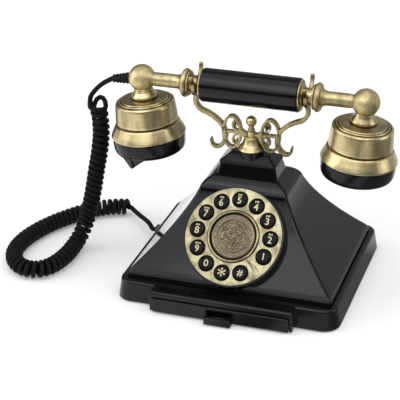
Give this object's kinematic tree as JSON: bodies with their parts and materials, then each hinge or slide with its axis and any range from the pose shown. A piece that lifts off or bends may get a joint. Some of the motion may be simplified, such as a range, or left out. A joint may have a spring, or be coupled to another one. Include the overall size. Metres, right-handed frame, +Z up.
{
  "type": "desk_telephone",
  "caption": "Black desk telephone with a flared housing on a tray with a drawer, a brass dial of push buttons, a sprung scroll cradle and a bell-cup handset on a curly cord.",
  "frame": {"origin": "Middle of the object's bounding box, cord left out, on the surface that it stands on", "axes": "+Z is up, the dial and the drawer face -Y, and the handset lies along X"},
  "size_m": [0.3148, 0.1686, 0.1709],
  "materials": {
    "black_gloss": "polished black plastic",
    "black_matte": "plain black plastic",
    "antique_brass": "antique brass, brushed, browned in the grooves",
    "medallion_brass": "antique brass, cast relief",
    "key_bronze": "dark bronze with pale marks",
    "plain_steel": "zinc-plated steel",
    "spring_steel": "bright wire",
    "board_green": "printed circuit board",
    "rubber_black": "black rubber",
    "rubber_grey": "grey silicone rubber",
    "cord_black": "black cord jacket",
    "weight_iron": "raw iron"
  },
  "bodies": {
    "base": {"housing": "black_gloss", "neck_cap": "black_gloss", "cradle_bell": "antique_brass", "tray": "black_gloss", "base_plate": "black_matte", "drawer_compartment": "black_matte", "rubber_feet": "rubber_black", "base_screws": "plain_steel", "dial_plate": "antique_brass", "dial_ring": "antique_brass", "medallion": "medallion_brass", "finger_stop": "antique_brass", "key_carrier": "black_matte", "keypad_mat": "rubber_grey", "keypad_board": "board_green", "main_board": "board_green", "sounder": "black_matte", "ballast": "weight_iron", "stem_bracket": "plain_steel", "lever_pin": "plain_steel", "hook_switch": "black_matte", "cord_jacks": "black_matte", "cradle_spring": "spring_steel", "cord_lead": "cord_black", "cord_curl": "cord_black", "cord_tail": "cord_black", "handset_plug": "black_matte"},
    "drawer_body": {"drawer": "black_gloss", "drawer_pull": "black_gloss"},
    "cradle": {"cradle_stem": "antique_brass", "stem_clip": "plain_steel", "finial": "antique_brass", "cradle_arm_left": "antique_brass", "cradle_arm_right": "antique_brass"},
    "hook_lever_body": {"hook_lever": "plain_steel"},
    "handset": {"grip": "black_gloss", "grip_tube": "plain_steel", "end_collars": "antique_brass", "arm_tubes": "antique_brass", "ball_joints": "antique_brass", "cup_shells": "antique_brass", "cup_rings": "antique_brass", "ear_cap": "black_gloss", "mouth_cap": "black_gloss", "receiver": "black_matte", "microphone": "black_matte", "strain_relief": "rubber_black"},
    "key_1_body": {"key_1": "key_bronze"},
    "key_2_body": {"key_2": "key_bronze"},
    "key_3_body": {"key_3": "key_bronze"},
    "key_4_body": {"key_4": "key_bronze"},
    "key_5_body": {"key_5": "key_bronze"},
    "key_6_body": {"key_6": "key_bronze"},
    "key_7_body": {"key_7": "key_bronze"},
    "key_8_body": {"key_8": "key_bronze"},
    "key_9_body": {"key_9": "key_bronze"},
    "key_0_body": {"key_0": "key_bronze"},
    "key_star_body": {"key_star": "key_bronze"},
    "key_hash_body": {"key_hash": "key_bronze"}
  },
  "joints": [
    {"name": "drawer_slide", "type": "slide", "parent": "base", "child": "drawer_body", "axis": [0, -1, 0], "range_m": [0, 0.078]},
    {"name": "cradle_slide", "type": "slide", "parent": "base", "child": "cradle", "axis": [0, 0, 1], "range_m": [0, 0.003], "stiffness_N_per_m": 300, "springref_m": 0.01, "deforming": ["cradle_spring"]},
    {"name": "hook_lever_pivot", "type": "hinge", "parent": "base", "child": "hook_lever_body", "pos_m": [0.0125, 0.00795, 0.0759], "axis": [0, 1, 0], "range_deg": [0, 11.5]},
    {"name": "handset_lift", "type": "slide", "parent": "cradle", "child": "handset", "axis": [0, 0, 1], "range_m": [0, 0.12]},
    {"name": "key_1_press", "type": "slide", "parent": "base", "child": "key_1_body", "axis": [0, 0.7804, -0.6252], "range_m": [0, 0.0013], "stiffness_N_per_m": 400, "springref_m": -0.002},
    {"name": "key_2_press", "type": "slide", "parent": "base", "child": "key_2_body", "axis": [0, 0.7804, -0.6252], "range_m": [0, 0.0013], "stiffness_N_per_m": 400, "springref_m": -0.002},
    {"name": "key_3_press", "type": "slide", "parent": "base", "child": "key_3_body", "axis": [0, 0.7804, -0.6252], "range_m": [0, 0.0013], "stiffness_N_per_m": 400, "springref_m": -0.002},
    {"name": "key_4_press", "type": "slide", "parent": "base", "child": "key_4_body", "axis": [0, 0.7804, -0.6252], "range_m": [0, 0.0013], "stiffness_N_per_m": 400, "springref_m": -0.002},
    {"name": "key_5_press", "type": "slide", "parent": "base", "child": "key_5_body", "axis": [0, 0.7804, -0.6252], "range_m": [0, 0.0013], "stiffness_N_per_m": 400, "springref_m": -0.002},
    {"name": "key_6_press", "type": "slide", "parent": "base", "child": "key_6_body", "axis": [0, 0.7804, -0.6252], "range_m": [0, 0.0013], "stiffness_N_per_m": 400, "springref_m": -0.002},
    {"name": "key_7_press", "type": "slide", "parent": "base", "child": "key_7_body", "axis": [0, 0.7804, -0.6252], "range_m": [0, 0.0013], "stiffness_N_per_m": 400, "springref_m": -0.002},
    {"name": "key_8_press", "type": "slide", "parent": "base", "child": "key_8_body", "axis": [0, 0.7804, -0.6252], "range_m": [0, 0.0013], "stiffness_N_per_m": 400, "springref_m": -0.002},
    {"name": "key_9_press", "type": "slide", "parent": "base", "child": "key_9_body", "axis": [0, 0.7804, -0.6252], "range_m": [0, 0.0013], "stiffness_N_per_m": 400, "springref_m": -0.002},
    {"name": "key_0_press", "type": "slide", "parent": "base", "child": "key_0_body", "axis": [0, 0.7804, -0.6252], "range_m": [0, 0.0013], "stiffness_N_per_m": 400, "springref_m": -0.002},
    {"name": "key_star_press", "type": "slide", "parent": "base", "child": "key_star_body", "axis": [0, 0.7804, -0.6252], "range_m": [0, 0.0013], "stiffness_N_per_m": 400, "springref_m": -0.002},
    {"name": "key_hash_press", "type": "slide", "parent": "base", "child": "key_hash_body", "axis": [0, 0.7804, -0.6252], "range_m": [0, 0.0013], "stiffness_N_per_m": 400, "springref_m": -0.002}
  ],
  "couplings": [
    {"joint": "hook_lever_pivot", "follows": "cradle_slide", "rad_per_m": 65}
  ]
}
